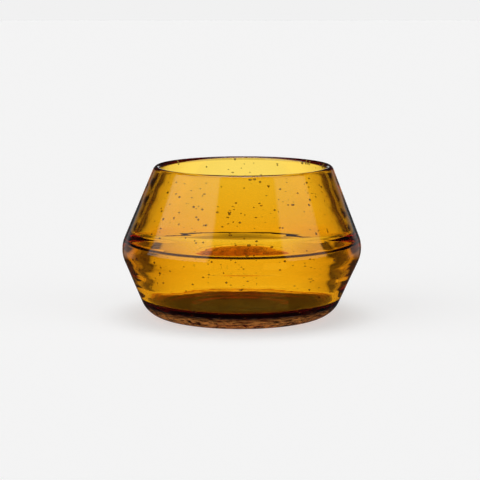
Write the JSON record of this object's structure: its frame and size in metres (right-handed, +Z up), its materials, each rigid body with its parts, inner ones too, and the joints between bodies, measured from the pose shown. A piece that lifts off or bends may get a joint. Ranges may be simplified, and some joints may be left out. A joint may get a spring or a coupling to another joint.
{
  "type": "tealight holder",
  "caption": "Amber glass tealight holder: a thick-walled double-cone vessel with a rounded shoulder, a ledge inside just above it, an open mouth and a heavy flat floor for a tealight.",
  "frame": {"origin": "middle of the flat ring that the vessel stands on", "axes": "+Z up along the vessel's own axis, from the base to the open mouth; X and Y are free, because the vessel is round"},
  "size_m": [0.11, 0.11, 0.069],
  "materials": {
    "amber_glass": "clear amber glass, fire-polished, with small air bubbles and faint tool waves"
  },
  "bodies": {
    "root": {"glass_vessel": "amber_glass"}
  },
  "joints": []
}
